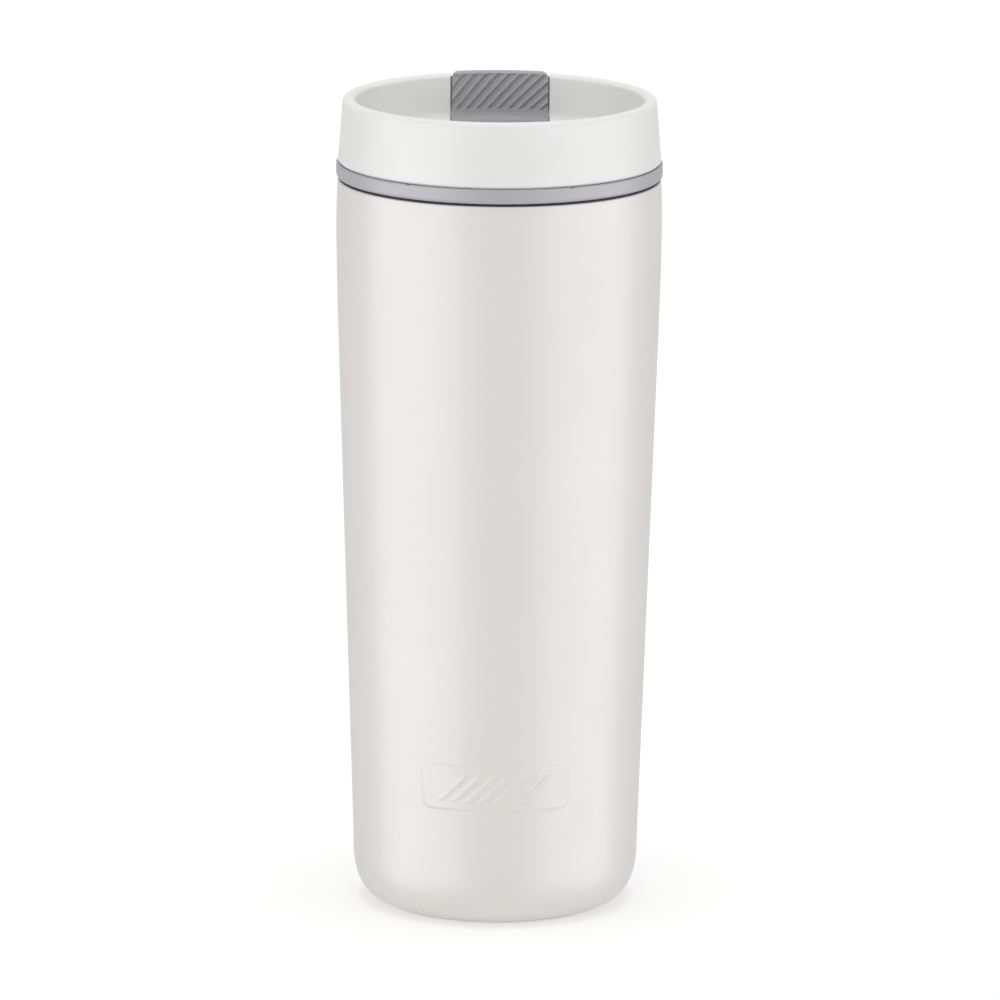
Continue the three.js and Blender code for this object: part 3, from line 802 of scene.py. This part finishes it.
def lid_collar():
    """Rim, dish and skirt: one section swept round the lid, open at the lever's slot."""
    section = rim_section()
    normals = section_normals(section)
    turns = [math.pi / 2 * k / 5 for k in range(5)]
    side = [(SLOT_HALF + SLOT_EDGE * (1 - math.cos(a)), SLOT_EDGE * (1 - math.sin(a))) for a in turns]
    columns = [(x, inset, 0.0) for x, inset in side]
    columns += [(SLOT_HALF + SLOT_EDGE, 0.0, t) for t in np.linspace(0, 1, COLLAR_COLUMNS)]
    columns += [(x, inset, 1.0) for x, inset in reversed(side)]
    trough_edge = arc((SLOT_EDGE, DISH_FLOOR - SLOT_EDGE), (SLOT_EDGE, SLOT_EDGE), 90, 180, 5)
    hidden = [SEAM, (SEAM[0], COLLAR_LOW)]
    slices = []
    for edge_x, inset, share in columns:
        points = []
        for (radius, height), (out, up) in zip(section, normals):
            points.append(split_ring(radius - inset * out, height - inset * up, edge_x, share))
        for out, height in trough_edge + [(0, TROUGH_LOW)]:
            half = min(SLOT_HALF + out, edge_x)
            x, y = trough_path(half, share)
            points.append((x, y, min(height, DISH_FLOOR - inset)))
        for radius, height in hidden:
            points.append(split_ring(radius, height, edge_x, share))
        slices.append(points)
    shape = joined(without(lofted(slices), box_shape(*REBATE)), trough_plate())
    return piece("collar_rim", shape, "lid", WHITE_PLASTIC, "lid_collar")


def trough_plate():
    """Floor of the trough, pierced by the drinking port and the vent."""
    half = SLOT_HALF + TROUGH_OVERLAP
    bend = [(half * math.cos(a), PORT_Y - half * math.sin(a)) for a in np.linspace(0, math.pi, 49)]
    outline = [(half, POCKET_Y), *bend, (-half, POCKET_Y)]
    holes = [circle(PORT_Y, PORT_HOLE, 64), circle(VENT_Y, VENT_BORE, 24)]
    return pierced_plate(outline, holes, TROUGH_LOW, TROUGH_FLOOR)


def port_seat():
    """Soft bush with a chamfered mouth that the stopper closes on."""
    bottom, top = low("port_seat").z, high("port_seat").z
    flange = high("port_seat").x
    corners = [
        (PORT_BORE, bottom, 0.2),
        (flange, bottom, 0.2),
        (flange, TROUGH_LOW - 0.05, 0.2),
        (PORT_HOLE - 0.1, TROUGH_LOW - 0.05, 0),
        (PORT_HOLE - 0.1, top, 0.35),
        (PORT_BORE + 0.5, top, 0.2),
        (PORT_BORE, top - 0.6, 0.2),
    ]
    shape = revolve(rounded(corners, 5), 96, centre_y=PORT_Y)
    return piece("seat_bush", shape, "lid", SILICONE, "port_seat")


# ---- The lever ----


def rib_relief(x, z):
    """Depth of the slanted ribs on the tab: each climbs from its groove in two steps to a flat crest."""
    rise = z - RIB_LOW
    foot_x = (x - RIB_LEAN * rise) / (1 + RIB_FAN * rise)
    phase = ((foot_x - RIB_START) / RIB_PITCH) % 1.0
    side = ease((LEVER_HALF - 0.1 - np.abs(x)) / RIB_EASE[0])
    foot = ease(rise / RIB_EASE[1])
    head = ease((RIB_HIGH - z) / RIB_EASE[2])
    return RIB_DEPTH * (1 - np.interp(phase, RIB_PLACES, RIB_HEIGHTS)) * side * foot * head


def on_round(x, radius, z):
    """Where a cylinder about the lid's axis is met at one x, as (y, z)."""
    return math.sqrt(max(radius**2 - x**2, 0)), z


def lever_slice(x, inset):
    """Closed outline (y, z) of the lever where it is cut at one x. Its surface is drawn in by an inset."""
    def on(radius, z):
        return on_round(x, radius, z)

    corner = max(0, abs(x) - (LEVER_HALF - TAB_CORNER))
    top_z = LEVER_TOP - TAB_ROUND - (TAB_CORNER - math.sqrt(max(TAB_CORNER**2 - corner**2, 0)))
    tip = PORT_Y - math.sqrt(max((LEVER_HALF - inset) ** 2 - x**2, 0))
    arm_top = DISH_FLOOR - inset
    fillet = (DISH_RADIUS - DISH_FILLET, DISH_FLOOR + DISH_FILLET)
    face_foot, face_head = DISH_RADIUS, CROWN_RADIUS - LIP_INNER[0]

    outline = arc((tip + LEVER_EDGE, arm_top - LEVER_EDGE), (LEVER_EDGE, LEVER_EDGE), 180, 90, 5)
    start = on(fillet[0], arm_top)
    outline += [(tip + LEVER_EDGE + (start[0] - tip - LEVER_EDGE) * t, arm_top) for t in (0.25, 0.5, 0.75)]
    face = arc(fillet, (DISH_FILLET + inset,) * 2, -90, 0, 40)
    low_z = fillet[1]
    face += [
        (face_foot + inset + (face_head - face_foot) * t, low_z + (top_z - low_z) * t)
        for t in np.linspace(0, 1, FACE_ROWS)[1:]
    ]
    outline += [on(r + rib_relief(x, z), z) for r, z in face]
    crown = max(TAB_ROUND - inset, 0.1)
    outer = collar_radius(top_z)
    brow = arc((face_head + TAB_ROUND, top_z), (crown, crown), 180, 90, 10)[1:]
    outline += [on(r + rib_relief(x, z), z) for r, z in brow]
    outline += [on(r, z) for r, z in arc((outer - TAB_ROUND, top_z), (crown, crown), 90, 0, 6)]
    outline += [on(collar_radius(z) - inset, z) for z in np.linspace(top_z, PIVOT_Z, 10)[1:]]
    drum_end = -180 - math.degrees(math.asin((ARM_LOW + inset - PIVOT_Z) / (DRUM_RADIUS - inset)))
    for y, z in arc((PIVOT_Y, PIVOT_Z), (DRUM_RADIUS - inset,) * 2, 0, drum_end, 24)[1:]:
        outline.append((min(y, on(collar_radius(z) - inset, z)[0]), z))
    outline += arc((tip + ARM_EDGE, ARM_LOW + inset + ARM_EDGE), (ARM_EDGE, ARM_EDGE), 270, 180, 4)
    return outline


def flange_slice(x, inset):
    """Outline of the wider back of the tab, which covers the gap beside it."""
    heights = np.linspace(FLANGE_LOW + inset, FLANGE_HIGH - inset, 8)
    back = [on_round(x, collar_radius(z) - inset, z) for z in heights]
    return [(FLANGE_Y + inset, FLANGE_HIGH - inset), (FLANGE_Y + inset, FLANGE_LOW + inset), *back]


def drum_slice(x, inset):
    """Outline of the drum that turns round the pin, kept inside the rim's outside."""
    outline = arc((PIVOT_Y, PIVOT_Z), (DRUM_RADIUS - inset,) * 2, 0, 360, 36)[1:]
    return [(min(y, on_round(x, collar_radius(z) - inset, z)[0]), z) for y, z in outline]


def sliced(outline_at, start, end, edge, cuts, round_start=True):
    """Outlines of a body cut at many x, with its end edges rounded, as loops of points."""
    turns = [math.pi / 2 * k / 6 for k in range(6)]
    side = [(edge * (1 - math.cos(a)), edge * (1 - math.sin(a))) for a in turns]
    places = [(start + step, inset) for step, inset in side] if round_start else []
    places += [(x, 0.0) for x in np.linspace(start + edge * round_start, end - edge, cuts)]
    places += [(end - step, inset) for step, inset in reversed(side)]
    return [[(x, y, z) for y, z in outline_at(x, inset)] for x, inset in places]


def mirrored(shape):
    """A shape swapped left for right."""
    points, faces = shape
    return points * (-1, 1, 1), [face[::-1] for face in faces]


def lever():
    """The tab, its drum and the arm: slices across the width, closed at both sides."""
    start = LEVER_HALF - WING_OVERLAP
    blade = lofted(sliced(lever_slice, -LEVER_HALF, LEVER_HALF, LEVER_EDGE, LEVER_CUTS))
    flange = lofted(sliced(flange_slice, start, FLANGE_HALF, WING_EDGE, 3, False))
    drum = lofted(sliced(drum_slice, start, DRUM_HALF, WING_EDGE, 3, False))
    shape = joined(blade, flange, mirrored(flange), drum, mirrored(drum))
    return piece("lever_body", shape, "flip_lever", LEVER_PLASTIC, "lever")


def port_plug():
    """Silicone stopper with a sealing lip, under the lever's arm."""
    bottom, top = low("port_plug").z, high("port_plug").z
    flange = high("port_plug").x
    corners = [
        (0, bottom + 0.5, 0),  # the hollow inside the sealing lip
        (2.6, bottom + 0.5, 0.3),
        (3.2, bottom, 0.3),  # the lip
        (4.2, bottom, 0.4),
        (4.7, bottom + 1.1, 0.3),  # the tapered side
        (4.9, top - 0.6, 0.2),
        (flange, top - 0.3, 0.12),  # the flange against the arm
        (flange, top, 0.12),
        (0, top, 0),
    ]
    shape = revolve(rounded(corners, 5), 96, closed=False, centre_y=PORT_Y)
    return piece("port_stopper", shape, "flip_lever", SILICONE, "port_plug")


def vent_plug():
    """Small tapered nub with a flange against the arm."""
    bottom, top = low("vent_plug").z, high("vent_plug").z
    flange = high("vent_plug").x
    corners = [
        (0, bottom, 0),
        (0.8, bottom, 0.3),
        (1.1, top - 0.25, 0.08),
        (flange, top - 0.25, 0.08),
        (flange, top, 0.08),
        (0, top, 0),
    ]
    shape = revolve(rounded(corners, 4), 48, closed=False, centre_y=VENT_Y)
    return piece("vent_nub", shape, "flip_lever", SILICONE, "vent_plug")


# ---- CAD nodes that stay, with finished materials ----


def finish_node(name, material):
    thing = frame["nodes"][name]
    thing.data.materials.clear()
    thing.data.materials.append(material)


def finish_kept_nodes():
    finish_node("shell_base", STEEL)
    finish_node("hinge_pin", STEEL)
    finish_node("foil_wrap", copper_foil())
    finish_node("getter", sintered_metal("getter_metal", (0.16, 0.165, 0.17), 0.6))
    finish_node("vacuum_seal", sintered_metal("solder", (0.42, 0.43, 0.45), 0.4))
    finish_node("lid_insulation", closed_cell_foam())


# ---- The studio ----


def camera():
    data = bpy.data.cameras.new("camera")
    data.sensor_width = 36
    data.lens = LENS
    thing = bpy.data.objects.new("camera", data)
    thing.location = CAMERA_PLACE
    pitch, yaw, roll = (math.radians(turn) for turn in CAMERA_TURNS)
    level = Matrix.Rotation(-yaw, 4, "Z") @ Matrix.Rotation(math.radians(90) - pitch, 4, "X")
    look = level @ Matrix.Rotation(roll, 4, "Z")
    thing.rotation_euler = look.to_euler()
    bpy.context.scene.collection.objects.link(thing)
    bpy.context.scene.camera = thing


def floor():
    """A plain pale floor that glows a little, so that the cup's shadow on it stays pale."""
    mesh = bpy.data.meshes.new("floor")
    corners = [(x * FLOOR_HALF, y * FLOOR_HALF, 0) for x, y in ((-1, -1), (1, -1), (1, 1), (-1, 1))]
    mesh.from_pydata(corners, [], [[0, 1, 2, 3]])
    f = Finish("floor", (FLOOR_TONE,) * 3, 0.9, Emission_Color=(1, 1, 1, 1), Emission_Strength=FLOOR_GLOW)
    mesh.materials.append(f.vary_colour(f.noise(60, 2), 0.004).material)
    thing = bpy.data.objects.new("floor", mesh)
    bpy.context.scene.collection.objects.link(thing)
    thing.visible_glossy = False
    thing.visible_shadow = False


def aimed(name, kind, place, aim):
    """A light at a place, pointed at another."""
    data = bpy.data.lights.new(name, kind)
    thing = bpy.data.objects.new(name, data)
    thing.location = place
    thing.rotation_euler = (Vector(aim) - Vector(place)).to_track_quat("-Z", "Y").to_euler()
    bpy.context.scene.collection.objects.link(thing)
    return thing


def broad_light(name, place, share, spread):
    """Soft light of an even strength: its share of the white level, and its angular width in degrees."""
    light = aimed(name, "SUN", place, (0, 0, 0))
    light.data.energy = share * math.pi
    light.data.angle = math.radians(spread)


def strip_panel(name, azimuth, glow):
    """Tall panel that shows only as a soft sheen down the side of the cup."""
    angle = math.radians(azimuth)
    light = aimed(name, "AREA", (PANEL_REACH * math.sin(angle), -PANEL_REACH * math.cos(angle), 0), (0, 0, 0))
    light.data.shape = "RECTANGLE"
    light.data.size, light.data.size_y = PANEL_SIZE
    light.data.energy = glow * math.pi * PANEL_SIZE[0] * PANEL_SIZE[1]
    light.data.cycles.use_multiple_importance_sampling = False
    light.visible_diffuse = False
    light.visible_camera = False


def studio():
    world = bpy.data.worlds.new("studio")
    world.use_nodes = True
    world.node_tree.nodes["Background"].inputs["Color"].default_value = (1, 1, 1, 1)
    world.node_tree.nodes["Background"].inputs["Strength"].default_value = SKY
    bpy.context.scene.world = world
    bpy.context.scene.view_settings.view_transform = "Standard"
    broad_light("overhead", (0, 0, 2), *OVERHEAD)
    broad_light("key", (0, -2, 0.8), *KEY)
    strip_panel("left_panel", *LEFT_PANEL)
    strip_panel("right_panel", *RIGHT_PANEL)


camera()
floor()
studio()
outer_shell()
inner_liner()
base_pad()
lid_gasket()
trim_ring()
lid_plug()
lid_collar()
port_seat()
lever()
port_plug()
vent_plug()
finish_kept_nodes()
